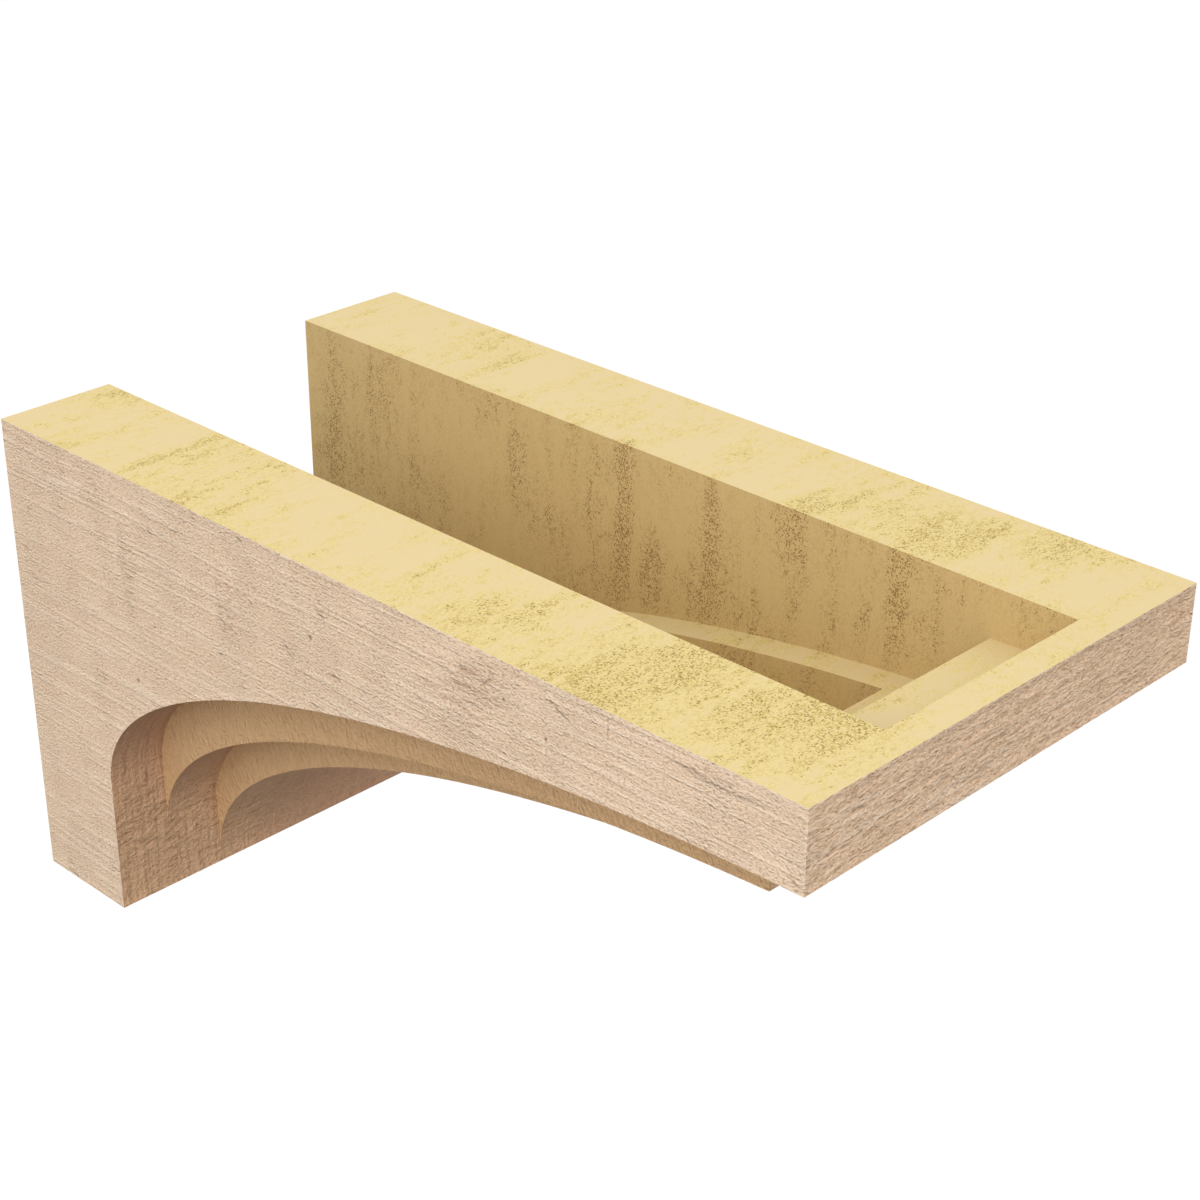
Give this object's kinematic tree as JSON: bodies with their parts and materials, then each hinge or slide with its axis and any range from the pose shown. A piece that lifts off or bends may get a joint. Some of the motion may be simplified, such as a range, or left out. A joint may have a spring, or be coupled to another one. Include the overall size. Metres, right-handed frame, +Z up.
{
  "type": "corbel",
  "caption": "Hollow moulded corbel with a wood-grain skin, nested arches stepping in under its arm, open at the top and back to go over a mounting block.",
  "frame": {"origin": "on the back face that meets the wall, at mid-width, in the middle of the bottom wall's thickness", "axes": "+Y points at the wall, out of the back face; the arm reaches forward along -Y; +Z is up; X runs across the width"},
  "size_m": [0.3048, 0.6096, 0.3048],
  "materials": {
    "moulded_polyurethane": "dull tan skin moulded with rough-sawn wood grain; the top, the back and the hollow are smooth, pale yellow, finely pored raw polyurethane"
  },
  "bodies": {
    "root": {"corbel": "moulded_polyurethane"}
  },
  "joints": []
}
